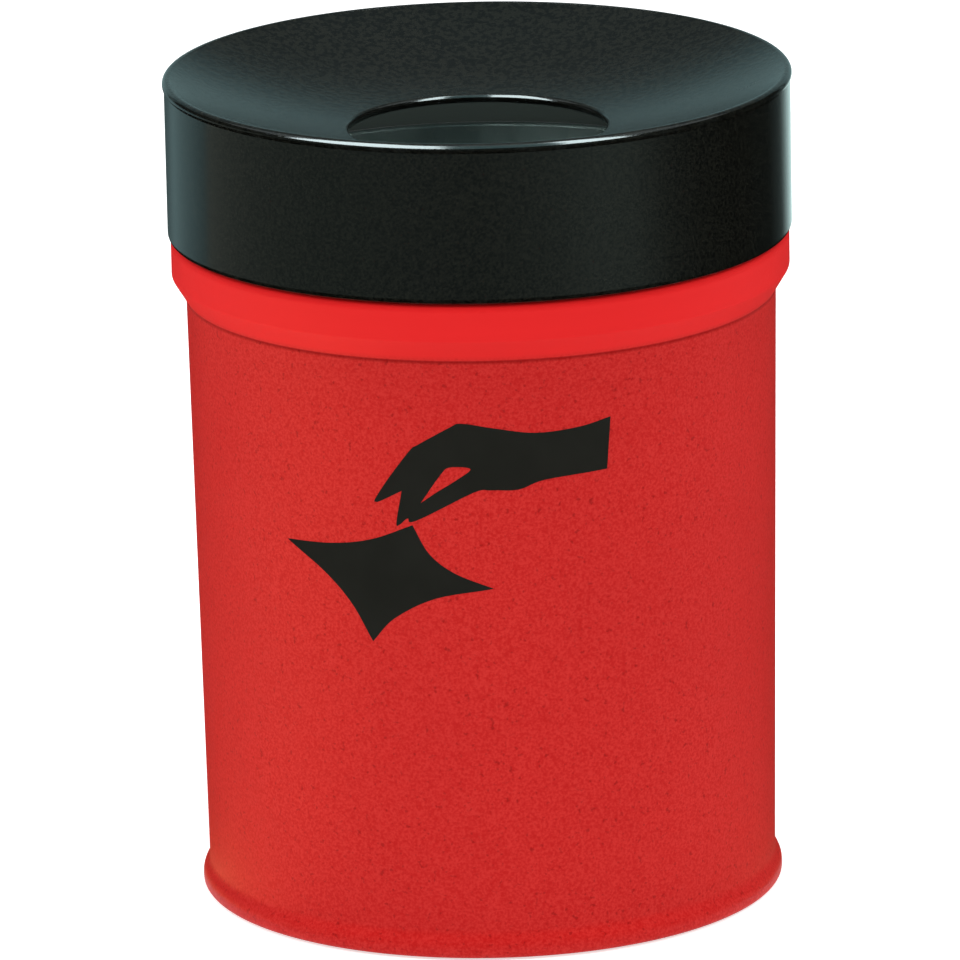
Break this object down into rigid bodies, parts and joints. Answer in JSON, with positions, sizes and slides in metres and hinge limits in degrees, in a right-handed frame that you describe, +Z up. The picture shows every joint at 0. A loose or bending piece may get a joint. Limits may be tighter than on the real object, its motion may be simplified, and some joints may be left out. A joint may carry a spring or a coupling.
{
  "type": "waste bin",
  "caption": "Round tapered sheet-steel waste bin with a lift-off flame-smothering funnel head and a lift-out liner with a bail.",
  "frame": {"origin": "centre of the base, on the floor that the pads stand on", "axes": "+Z up along the bin's axis, the front with the litter figure faces -Y, the welded lap is at +Y"},
  "size_m": [0.315, 0.315, 0.421],
  "materials": {
    "red_coat": "satin powder coat",
    "black_coat": "satin powder coat",
    "galvanised": "galvanised",
    "pad_rubber": "matt",
    "figure_film": "printed film"
  },
  "bodies": {
    "body": {"body_wall": "red_coat", "base_plate": "red_coat", "floor_pad_1": "pad_rubber", "floor_pad_2": "pad_rubber", "floor_pad_3": "pad_rubber", "floor_pad_4": "pad_rubber"},
    "head": {"head_skirt": "black_coat", "head_dish": "black_coat"},
    "liner": {"liner_wall": "galvanised", "liner_base": "galvanised", "liner_rim_wire": "galvanised", "liner_ear_left": "galvanised", "liner_ear_right": "galvanised", "ear_rivets": "galvanised"},
    "bail": {"bail_wire": "galvanised"}
  },
  "joints": [
    {"name": "head_lift", "type": "slide", "parent": "body", "child": "head", "axis": [0, 0, 1], "range_m": [0, 0.6]},
    {"name": "liner_lift", "type": "slide", "parent": "body", "child": "liner", "axis": [0, 0, 1], "range_m": [0, 0.36]},
    {"name": "bail_swing", "type": "hinge", "parent": "liner", "child": "bail", "pos_m": [0, 0, 0.3619], "axis": [-1, 0, 0], "range_deg": [0, 90]}
  ],
  "couplings": [
    {"joint": "liner_lift", "follows": "head_lift", "ratio": 0.6},
    {"joint": "bail_swing", "follows": "head_lift", "rad_per_m": 2.6179}
  ]
}
